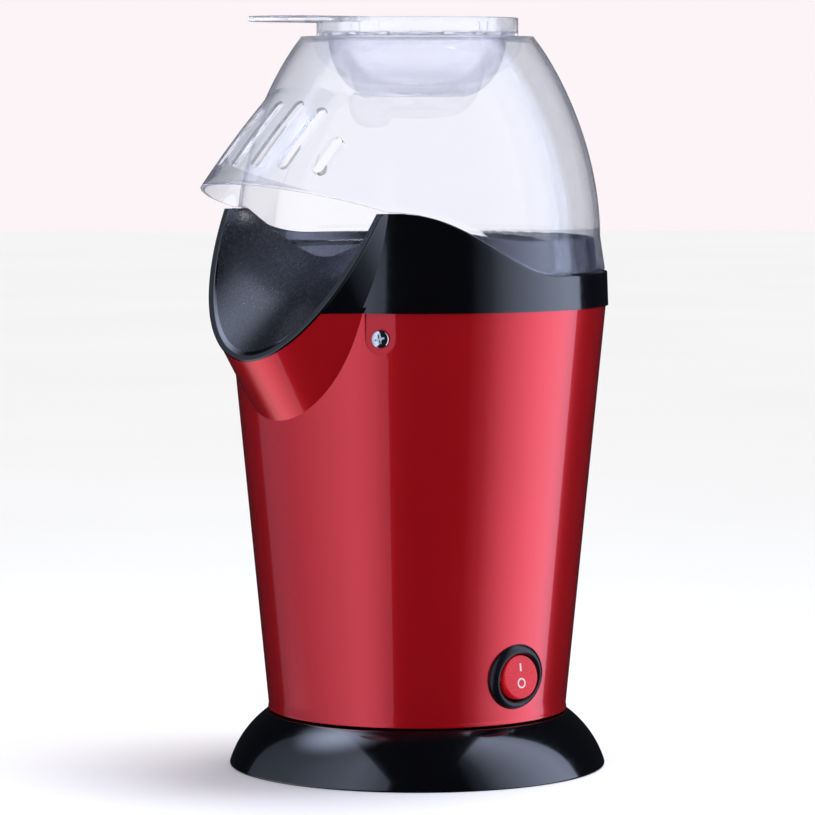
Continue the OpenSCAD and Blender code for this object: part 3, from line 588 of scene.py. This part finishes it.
def collar():
    """The collar and, apart from it, the satin lining of its throat and chute."""
    s, lining = Surface(), Surface()
    peak_turn = mouth_meets(PEAK_Z, 0, 0.8, 1.7)
    rim_angle = acos(1 - ((PEAK_Z - LIP_Z) / cos(MOUTH_LEAN) + MOUTH_DROP) / MOUTH_B)
    dam_angle = acos(DAM_FWD / RING_IN_R)
    funnel = (FUNNEL_Z - THROAT_Z) / (RING_IN_R - THROAT_R)

    # throat, dam, chute and rolled lip, in sections from one side to the other
    rows, lining_rows = [], []
    for u in mirrored(spread(0, 1, 60)):
        a, turn = u * dam_angle, u * peak_turn
        r = DAM_FWD / cos(a)
        inner, outer = rim_inner(u * rim_angle), rim_point(turn, 0, COLLAR_PROUD)
        behind, tuck = rim_point(turn, RIM_BACK, COLLAR_PROUD), rim_point(turn, RIM_BACK + 0.6, -0.4)
        crest_at = crest(a)
        chute = [mix(crest_at, inner, v) for v in spread(0, 1, 26)]
        throat = (THROAT_R * sin(a), THROAT_R * cos(a))
        back = [(*throat, THROAT_LOW_Z), (*throat, THROAT_Z),
                (r * sin(a), r * cos(a), THROAT_Z + funnel * (r - THROAT_R)), crest_at, chute[1]]
        inside = soften(back, [0.3, 0.3, 0.7])[:-1] + chute[2:-1]
        lining_rows.append([world(p) for p in inside])
        rows.append([world(p) for p in soften([chute[-2], inner, outer, behind, tuck], [0.35, 0.35, 0.2])])
    s.grid(rows)
    lining.grid(lining_rows)

    # ring that holds the dome, funnel and throat round the rest
    rows = []
    for a in spread(dam_angle, 2 * pi - dam_angle, 170):
        top = ring_edge(RING_IN_R * cos(a))
        ledge = collar_edge(COLLAR_R * cos(a)) - 1.5
        section = [(THROAT_R, THROAT_LOW_Z), (THROAT_R, THROAT_Z), (RING_IN_R, FUNNEL_Z), (RING_IN_R, top),
                   (ring_out(top), top), (ring_out(ledge), min(ledge, top - 0.2))]
        radii = [1.2, min(3, (top - FUNNEL_Z) / 3), 0.6, 0.7]
        rows.append([polar(r, a, z) for r, z in outline(section, radii)])
    s.grid(rows)

    # outer band: each level runs from the crease round to the back
    steps, levels = 110, spread(0, 1, 14)
    for side in (-1, 1):
        rows = []
        for v in levels:
            row = []
            for u in spread(0, 1, steps):
                z = lerp(COLLAR_Z, PEAK_Z, v)
                for _ in range(7):
                    a = lerp(crease_angle(z) if u < 1 else 0, pi, u)
                    z = lerp(COLLAR_Z, collar_edge(band_r(z) * cos(a)) - 0.65, v)
                row.append((a, z))
            rows.append([polar(band_r(z), side * a, z) for a, z in row])
        rounding = [(0.03, -0.2), (0.13, 0.02), (0.32, 0.16), (0.6, 0.2)]
        for dr, dz in rounding + [(3.9, 0)]:
            rows.append([polar(band_r(z) - dr, side * a, z + 0.45 + dz) for a, z in row])
        under = [(3.4, 0), (0.5, 0.0), (0.15, 0.1), (0, 0.4)]
        s.grid([[polar(band_r(COLLAR_Z) - dr, side * a, COLLAR_Z + dz)
                 for a in spread(crease_angle(COLLAR_Z), pi, steps)] for dr, dz in under])
        s.grid(rows)

    # the tube's own sides between the lip and the band
    low_turn = mouth_meets(COLLAR_Z, RIM_BACK, 0.1, 1.3)
    end_turn = crease_turn(PEAK_Z)
    marks = [low_turn, crease_turn(COLLAR_Z), peak_turn, end_turn]
    turns = [t for a, b in zip(marks, marks[1:]) for t in spread(a, b, 14)[1:]]
    turns = [low_turn] + turns
    for side in (-1, 1):
        rows = []
        for v in spread(0, 1, 12):
            row = []
            for t in turns:
                low = max(along_to_height(t, COLLAR_Z, COLLAR_PROUD), band_out(t))
                high = min(along_to_mouth(t, RIM_BACK, COLLAR_PROUD),
                           along_to_height(t, PEAK_Z, COLLAR_PROUD))
                row.append(world(on_tube(side * t, lerp(low, max(high, low), v), COLLAR_PROUD)))
            rows.append(row)
        s.grid(rows)

        # flat top of the peak
        edge = [on_tube(side * t, along_to_height(t, PEAK_Z, COLLAR_PROUD), COLLAR_PROUD)
                for t in spread(peak_turn, end_turn, 10)]
        start = crease_angle(PEAK_Z)
        arc = [((band_r(PEAK_Z) - 4) * sin(side * a), (band_r(PEAK_Z) - 4) * cos(a), PEAK_Z)
               for a in spread(start, acos(DAM_FWD / 66), 8)]
        cap = [rim_inner(side * rim_angle)] + edge + arc + [(side * DAM_HALF_W, DAM_FWD, PEAK_Z)]
        s.face([world(p) for p in cap])
    return s.object("black_collar"), lining.object("chute_lining")


collar_band, chute_lining = collar()
finish_piece(collar_band, "housing", "collar", "black_gloss", 34)
finish_piece(chute_lining, "housing", "collar", "black_satin", 34)


def collar_screws():
    """Two pan-head screws with cross recesses."""
    heads, cross = [], []
    head = outline([(0, 1.9), (1.6, 1.9), (3.2, 1.2), (3.3, 0), (1.3, 0), (1.3, -8), (0, -8)],
                   [1.2, 0.5, 0.1, 0.1, 0.3], 3)
    r = BODY_LOW_R + BODY_SLOPE * (SCREW_Z - BODY_Z)
    for side in (-1, 1):
        face = Matrix.Rotation(side * SCREW_ANGLE, 4, "Z") @ Matrix.Translation((0, 0, SCREW_Z))
        face = face @ Matrix.Rotation(pi / 2, 4, "X") @ Matrix.Translation((0, 0, r - 0.6))
        heads.append(placed(turned(head, 48), face))
        for a in (0.25, 0.25 + pi / 2):
            bar = [(-1.75, -0.32), (1.75, -0.32), (1.75, 0.32), (-1.75, 0.32)]
            cross.append(prism(bar, 0.9 + 0.01 * a, 3, face @ Matrix.Rotation(a, 4, "Z")))
    o = joined(*heads).object("bright_screws")
    for bars in (cross[::2], cross[1::2]):
        carved(o, joined(*bars).object("screw_cutters"))
    return o


finish_piece(collar_screws(), "housing", "collar_screws", "chrome")


# ---- Dome ---------------------------------------------------------------------------

def dome_r(z):
    if z <= 195:
        return 67.1 + 1.7 * (195 - z) / 11
    return DOME_TOP_R + 24.9 * (1 - ((z - 195) / (DOME_Z - 195)) ** 1.9) ** 0.9


def dome_edge(fwd):
    """Height of the dome's lower edge: over the collar, then out under the hood."""
    if fwd < PEAK_FWD:
        return collar_edge(fwd) + 0.4
    return PEAK_Z + 0.4 + (HOOD_TIP_Z - PEAK_Z - 0.4) * (fwd - PEAK_FWD) / (HOOD_TIP_FWD - PEAK_FWD)


def hood_fwd(z, turn, inset):
    swell = HOOD_SWELL * sin(pi * min(max((z - SWELL_Z) / SWELL_H, 0), 1))
    return HOOD_FWD - HOOD_RUN * (z - HOOD_AT_Z) + swell + (HOOD_R - inset) * cos(turn)


EDGE_ROLL = 0.6


def hood_low(turn, inset):
    return root(lambda z: z - EDGE_ROLL - dome_edge(hood_fwd(z, turn, inset)), 190, 230)


def hood_high(turn, inset):
    x = (HOOD_R - inset) * sin(turn)
    return root(lambda z: dome_r(z) - inset - hypot(x, hood_fwd(z, turn, inset)), hood_low(turn, inset), 262)


def hood_limit(inset):
    """Turn at which the hood's line runs out on the dome's lower edge."""
    def outside(turn):
        z = hood_low(turn, inset)
        return hypot((HOOD_R - inset) * sin(turn), hood_fwd(z, turn, inset)) - dome_r(z) + inset
    return root(outside, 1.2, 1.9)


def dome_skin(inset):
    """Rows from the dome's shoulder to its edge, and from the hood's crease to the hood's edge."""
    turns = mirrored(spread(0, hood_limit(inset), 44))
    crease = []
    for t in turns:
        z = hood_high(t, inset) if abs(t) < turns[-1] else hood_low(t, inset)
        crease.append(((HOOD_R - inset) * sin(t), hood_fwd(z, t, inset), z))
    hood = []
    for v in spread(0, 1, 24):
        row = []
        for t, top in zip(turns, crease):
            z = lerp(top[2], hood_low(t, inset), v)
            row.append(((HOOD_R - inset) * sin(t), hood_fwd(z, t, inset), z))
        hood.append(row)
    angles = [atan2(x, fwd) for x, fwd, _ in crease]
    lows = [z for _, _, z in crease]
    for a in spread(angles[-1], 2 * pi + angles[0], 130)[1:-1]:
        z = 200
        for _ in range(12):
            z = dome_edge((dome_r(z) - inset) * cos(a)) + EDGE_ROLL
        angles.append(a)
        lows.append(z)
    return hood, angles, lows


def dome_cover():
    hood_out, angles_out, lows_out = dome_skin(0)
    hood_in, angles_in, lows_in = dome_skin(CLEAR)
    top_in = DOME_Z - CLEAR
    shoulder = 0.6
    columns = len(angles_out)
    even = [angles_out[0] + 2 * pi * i / columns for i in range(columns)]

    def skin(angles, lows, inset, top):
        rows = []
        for v in [0, 0.004, 0.012, 0.025, 0.045] + spread(0.07, 1, 34):
            row = []
            for a, b, low in zip(angles, even, lows):
                z = lerp(top, low, v)
                row.append(polar(dome_r(z) - inset, lerp(b, a, v), z))
            rows.append(row)
        return rows

    outer = skin(angles_out, lows_out, 0, DOME_Z - shoulder)
    inner = skin(angles_in, lows_in, CLEAR, top_in - 0.2)
    shoulder_r = dome_r(DOME_Z - shoulder)
    top = []
    for r, z in outline([(DOME_HOLE_R, top_in), (DOME_HOLE_R, DOME_Z), (DOME_TOP_R + 0.4, DOME_Z),
                         (shoulder_r, DOME_Z - shoulder)], [0.4, 0.7]):
        top.append([polar(r, a, z) for a in even])
    ceiling = [(DOME_HOLE_R, top_in), (DOME_TOP_R - CLEAR - 0.8, top_in),
               (dome_r(top_in - 0.2) - CLEAR, top_in - 0.2)]
    inner_top = [[polar(r, a, z) for a in even] for r, z in ceiling]
    s = Surface().grid(top, closed=True).grid(outer, closed=True)
    s.grid(inner_top, closed=True).grid(inner, closed=True)
    s.grid([[world(p) for p in row] for row in hood_out]).grid([[world(p) for p in row] for row in hood_in])

    # rounded lower edge, joining the two skins
    count = len(hood_out[-1])
    out_edge = [world(p) for p in hood_out[-1]] + outer[-1][count:]
    in_edge = [world(p) for p in hood_in[-1]] + inner[-1][count:]
    rim = []
    for i in range(7):
        f = i / 6
        drop = (0, 0, -EDGE_ROLL * sin(pi * f))
        rim.append([tuple(a + b for a, b in zip(mix(p, q, (1 - cos(pi * f)) / 2), drop))
                    for p, q in zip(out_edge, in_edge)])
    s.grid(rim, closed=True)
    o = s.object("clear_dome")

    tilt = atan(HOOD_RUN)
    cutters = []
    for x, z0, z1 in SLOTS:
        mid, half = (z0 + z1) / 2, (z1 - z0) / 2 / cos(tilt) - SLOT_W / 2
        ends = [(SLOT_W / 2 * cos(a), half + SLOT_W / 2 * sin(a)) for a in spread(0, pi, 13)]
        ends += [(SLOT_W / 2 * cos(a), -half + SLOT_W / 2 * sin(a)) for a in spread(pi, 2 * pi, 13)]
        fwd = hood_fwd(mid, asin(x / HOOD_R), 0)
        for side in (-1, 1):
            face = Matrix.Translation((side * x, -fwd, mid)) @ Matrix.Rotation(pi / 2 - tilt, 4, "X")
            cutters.append(prism(ends, -8, 8, face))
    return carved(o, joined(*cutters).object("slot_cutters"))


finish_piece(dome_cover(), "dome", "dome_cover", "clear", 38)


# ---- Measuring cup --------------------------------------------------------------------

def measuring_cup():
    """Clear cup: round bowl, upright rim with notches under it, and a flat handle."""
    top = DOME_Z + CUP_RIM_H
    bowl = [(CUP_FOOT_R + (CUP_BOWL_R - CUP_FOOT_R) * sin(a),
             CUP_BOTTOM_Z + (DOME_Z - CUP_BOTTOM_Z) * (1 - cos(a))) for a in spread(0, pi / 2, 16)]
    bowl_in = [(CUP_FOOT_R - 0.5 + (CUP_BOWL_R - CUP_WALL - CUP_FOOT_R + 0.5) * sin(a),
                CUP_BOTTOM_Z + CUP_WALL + (DOME_Z - CUP_BOTTOM_Z - CUP_WALL) * (1 - cos(a)))
               for a in spread(pi / 2, 0, 16)]
    web, rim_wall = 1.2, 1.6
    rim = outline([bowl[-1], (33.6, DOME_Z), (CUP_RIM_R, DOME_Z), (CUP_RIM_R, top),
                   (CUP_RIM_R - rim_wall, top), (CUP_RIM_R - rim_wall, DOME_Z + web), bowl_in[0]],
                  [0, 0.3, 0.5, 0.5, 0.6])
    rim.insert(1, (33.59, DOME_Z))
    profile = [(0, CUP_BOTTOM_Z)] + bowl[:-1] + rim + bowl_in[1:] + [(0, CUP_BOTTOM_Z + CUP_WALL)]
    notches, half, lift = 18, 2.6 / CUP_RIM_R, 1.2
    rows = []
    for k in range(notches):
        middle = radians(10) + 2 * pi * k / notches
        for a, lifted in ((-half, False), (-half, True), (0, True), (half, True), (half, False),
                          (half + 0.06, False), (half + 0.12, False), (half + 0.18, False)):
            rows.append([polar(r, middle + a, max(z, DOME_Z + lift) if lifted and r > 33.595 else z)
                         for r, z in profile])
    s = Surface().grid(rows + rows[:1])
    o = s.object("clear_cup")

    def plate(grow):
        """Rows of the handle's outline from the rim to its rounded tip."""
        out = []
        for x in spread(-1, 1, 25):
            w = HANDLE_W / 2 + grow
            near = sqrt((CUP_RIM_R - 0.9) ** 2 - (x * w) ** 2)
            corner = 5.5
            edge = max(0, abs(x) * w - (w - corner))
            far = sqrt((HANDLE_REACH + grow) ** 2 - (x * w) ** 2) - corner
            far += sqrt(max(corner ** 2 - edge ** 2, 0))
            out.append([(x * w, -lerp(near, far, v)) for v in spread(0, 1, 12)])
        return out

    rounding = 0.4
    face_rows, side_rows = plate(-rounding), plate(0)
    layers = [(face_rows, top - HANDLE_T), (side_rows, top - HANDLE_T + rounding),
              (side_rows, top - rounding), (face_rows, top)]
    h = Surface()
    for grid_rows, z in (layers[0], layers[3]):
        h.grid([[(x, y, z) for x, y in row] for row in grid_rows])
    loops = []
    for grid_rows, z in layers:
        loop = [row[0] for row in grid_rows] + grid_rows[-1][1:] + [row[-1] for row in grid_rows[::-1]][1:]
        loop += grid_rows[0][::-1][1:-1]
        loops.append([(x, y, z) for x, y in loop])
    h.grid(loops, closed=True)
    carved(o, h.object("cup_handle"), "UNION")

    # small clips on each side of the rim and a fill mark low on the bowl
    clip = [(-1.9, -1.5), (1.9, -1.5), (1.9, 1.5), (-1.9, 1.5)]
    extras = []
    for side in (-1, 1):
        face = Matrix.Rotation(side * pi / 2, 4, "Z") @ Matrix.Translation((0, -CUP_RIM_R - 0.45, top - 3.2))
        extras.append(prism(clip, -0.8, 0.8, face @ Matrix.Rotation(pi / 2, 4, "X")))
    mark = [(-2.5, 0), (2.5, 0), (0, 2.4)]
    face = Matrix.Rotation(VIEW_TURN, 4, "Z") @ Matrix.Translation((0, -CUP_FOOT_R - 4.4, CUP_BOTTOM_Z + 1.3))
    extras.append(prism(mark, -1.2, 1.2, face @ Matrix.Rotation(pi / 2 - 0.4, 4, "X")))
    return carved(o, joined(*extras).object("cup_extras"), "UNION")


finish_piece(measuring_cup(), "cup", "measuring_cup", "clear", 38)


# ---- Rocker switch ----------------------------------------------------------------------

def switch_bezel():
    profile = outline([(10, -2), (BEZEL_R, -2), (BEZEL_R, 0.4), (11, 1.6), (9.6, 2.3), (CAVITY_R, 1.2),
                       (CAVITY_R, -16), (10, -16), (10, -2)], [0.2, 0.6, 0.9, 0.7, 0.5, 0, 0])
    return placed(turned(profile[:-1], 96), AT_SWITCH).object("switch_surround")


def switch_rocker():
    """A ball cut flat on top, tilted to its pressed side, with its pivot pins."""
    flat_r = sqrt(ROCKER_R ** 2 - ROCKER_FLAT ** 2)
    side = [(ROCKER_R * cos(a), ROCKER_R * sin(a)) for a in spread(asin(ROCKER_FLAT / ROCKER_R), -0.58, 14)]
    profile = outline([(0, ROCKER_FLAT), (flat_r, ROCKER_FLAT), side[1]], [0.6]) + side[2:]
    profile.append((0, side[-1][1]))
    tilt = AT_SWITCH @ Matrix.Rotation(-ROCKER_TILT, 4, "Y")
    pins = [prism(round_outline(1.2, 24), 7, 9.4, tilt @ Matrix.Rotation(s * pi / 2, 4, "X"))
            for s in (-1, 1)]
    return joined(placed(turned(profile, 72), tilt), *pins).object("red_rocker")


finish_piece(switch_bezel(), "housing", "switch_bezel", "black_satin")
finish_piece(switch_rocker(), "rocker", "switch_rocker", "rocker_red")


# ---- Floor, light and camera --------------------------------------------------------------

def floor():
    reach = 6000
    rows = [[polar(r, 2 * pi * i / 64, 0) for i in range(64)] for r in (1, 300, 1000, reach)]
    o = Surface().grid(rows, closed=True).face(list(rows[0])).object("pale_floor")
    n = Nodes("floor_finish")
    n.feed(Base_Color=n.ramp(n.noise(3, 2), (0.89, 0.89, 0.89), (0.91, 0.91, 0.91)), Roughness=0.55)
    n.feed(Specular_IOR_Level=0.0)
    o.data.materials.append(n.material)
    o.visible_glossy = False


def seen_from_camera(right, near, height):
    """A place by its distance to the right of the object, towards the camera, and up."""
    c, s = cos(VIEW_TURN), sin(VIEW_TURN)
    return Vector((s * near + c * right, s * right - c * near, height))


def panel(name, right, near, far, low, high, radiance, colour, fade):
    """An upright soft panel beside the object, with its level at stops across its width."""
    light = bpy.data.lights.new(name, "AREA")
    light.shape, light.size, light.size_y, light.color = "RECTANGLE", near - far, high - low, colour
    light.energy = radiance * pi * light.size * light.size_y
    o = bpy.data.objects.new(name, light)
    bpy.context.scene.collection.objects.link(o)
    o.location = seen_from_camera(right, (near + far) / 2, (low + high) / 2)
    facing = seen_from_camera(-right, 0, 0)
    o.rotation_euler = facing.to_track_quat("-Z", "Y").to_euler()
    o.visible_camera = False
    light.use_nodes = True
    nt = light.node_tree
    side = nt.nodes.new("ShaderNodeSeparateXYZ")
    nt.links.new(nt.nodes.new("ShaderNodeNewGeometry").outputs["Parametric"], side.inputs[0])
    span = nt.nodes.new("ShaderNodeValToRGB")
    stops = span.color_ramp.elements
    for _ in fade[2:]:
        stops.new(0.5)
    for stop, (position, level) in zip(stops, fade):
        stop.position, stop.color = position, (level, level, level, 1)
    nt.links.new(side.outputs["X"], span.inputs["Fac"])
    nt.links.new(span.outputs["Color"], nt.nodes["Emission"].inputs["Strength"])


def glow(name, place, aim, size, radiance, colour):
    """A round light that fades to its rim, mirrored in glossy faces without lighting matt ones."""
    light = bpy.data.lights.new(name, "AREA")
    light.shape, light.size, light.size_y, light.color = "RECTANGLE", size, size, colour
    light.energy = radiance * pi * size * size
    o = bpy.data.objects.new(name, light)
    bpy.context.scene.collection.objects.link(o)
    o.location = place
    o.rotation_euler = (Vector(aim) - o.location).to_track_quat("-Z", "Y").to_euler()
    o.visible_camera = o.visible_transmission = o.visible_diffuse = False
    light.use_nodes = True
    nt = light.node_tree
    off = nt.nodes.new("ShaderNodeVectorMath")
    off.operation = "DISTANCE"
    nt.links.new(nt.nodes.new("ShaderNodeNewGeometry").outputs["Parametric"], off.inputs[0])
    off.inputs[1].default_value = (0.5, 0.5, 0)
    level = nt.nodes.new("ShaderNodeMapRange")
    level.interpolation_type = "SMOOTHSTEP"
    for socket, value in (("From Min", 0.0), ("From Max", 0.5), ("To Min", 1.0), ("To Max", 0.0)):
        level.inputs[socket].default_value = value
    nt.links.new(off.outputs["Value"], level.inputs["Value"])
    nt.links.new(level.outputs["Result"], nt.nodes["Emission"].inputs["Strength"])


def studio():
    cool = (0.66, 0.75, 1.0)
    right_fade = [(0.2, 0.0), (0.42, 0.12), (0.62, 0.55), (0.8, 0.95), (0.9, 1.0), (1.0, 0.75)]
    left_fade = [(0.03, 0.2), (0.18, 0.4), (0.3, 0.72), (0.45, 1.0), (0.6, 0.87), (0.8, 0.6)]
    panel("panel_right", 0.5, 1.07, -0.17, -0.6, 1.2, 2.3, cool, right_fade)
    panel("panel_left", -0.55, 1.7, -0.32, -0.6, 1.2, 1.2, cool, left_fade)
    glow("glow_low", (-0.36, -0.30, -0.36), (0, -0.06, 0.14), 0.8, 0.9, (1.0, 0.85, 0.9))
    glow("glow_high", (-0.43, -0.31, 0.91), (0, -0.06, 0.17), 0.9, 3.4, cool)
    glow("glow_back", (-1.0, 0.9, 1.05), (0, 0, 0.2), 1.0, 3.0, cool)
    sun = bpy.data.lights.new("high_sun", "SUN")
    sun.energy, sun.angle = 1.7, radians(30)
    o = bpy.data.objects.new("high_sun", sun)
    bpy.context.scene.collection.objects.link(o)
    o.rotation_euler = seen_from_camera(0.25, -0.2, 1).to_track_quat("Z", "Y").to_euler()
    o.visible_glossy = False

    # the room as seen through the clear parts, as mirrored inside them, as it lights, as the
    # camera sees it, and as it is mirrored from outside
    sky = bpy.data.worlds.new("pale_room")
    bpy.context.scene.world = sky
    sky.use_nodes = True
    sky.cycles.sampling_method = "NONE"
    nt = sky.node_tree
    path = nt.nodes.new("ShaderNodeLightPath")
    only_mirrored = nt.nodes.new("ShaderNodeMath")
    only_mirrored.operation, only_mirrored.use_clamp = "SUBTRACT", True
    nt.links.new(path.outputs["Is Glossy Ray"], only_mirrored.inputs[0])
    nt.links.new(path.outputs["Transmission Depth"], only_mirrored.inputs[1])
    room = nt.nodes["Background"]
    room.inputs["Color"].default_value = (1.0, 0.985, 1.0, 1)
    room.inputs["Strength"].default_value = 1.05
    room = room.outputs[0]
    for switch, colour, strength in ((path.outputs["Glossy Depth"], (0.5, 0.56, 0.85), 0.3),
                                     (path.outputs["Is Diffuse Ray"], (1.0, 0.99, 1.0), 0.5),
                                     (path.outputs["Is Camera Ray"], (0.975, 0.905, 0.93), 1.0),
                                     (only_mirrored.outputs[0], (0.6, 0.68, 0.9), 0.015)):
        look = nt.nodes.new("ShaderNodeBackground")
        look.inputs["Color"].default_value, look.inputs["Strength"].default_value = (*colour, 1), strength
        pick = nt.nodes.new("ShaderNodeMixShader")
        nt.links.new(switch, pick.inputs[0])
        nt.links.new(room, pick.inputs[1])
        nt.links.new(look.outputs[0], pick.inputs[2])
        room = pick.outputs[0]
    nt.links.new(room, nt.nodes["World Output"].inputs["Surface"])


def camera():
    """The photographer's place: low, to the right of the spout, with a long lens."""
    cam = bpy.data.cameras.new("camera")
    cam.lens, cam.sensor_width = 183.4, 36
    o = bpy.data.objects.new("camera", cam)
    bpy.context.scene.collection.objects.link(o)
    o.location = seen_from_camera(0, 1.526, 0.247)
    aim = seen_from_camera(-0.0036, 0, 0.1318)
    o.rotation_euler = (aim - o.location).to_track_quat("-Z", "Y").to_euler()
    cam.clip_start, cam.clip_end = 0.05, 30
    bpy.context.scene.camera = o


floor()
studio()
camera()
bpy.context.scene.view_settings.view_transform = "Standard"
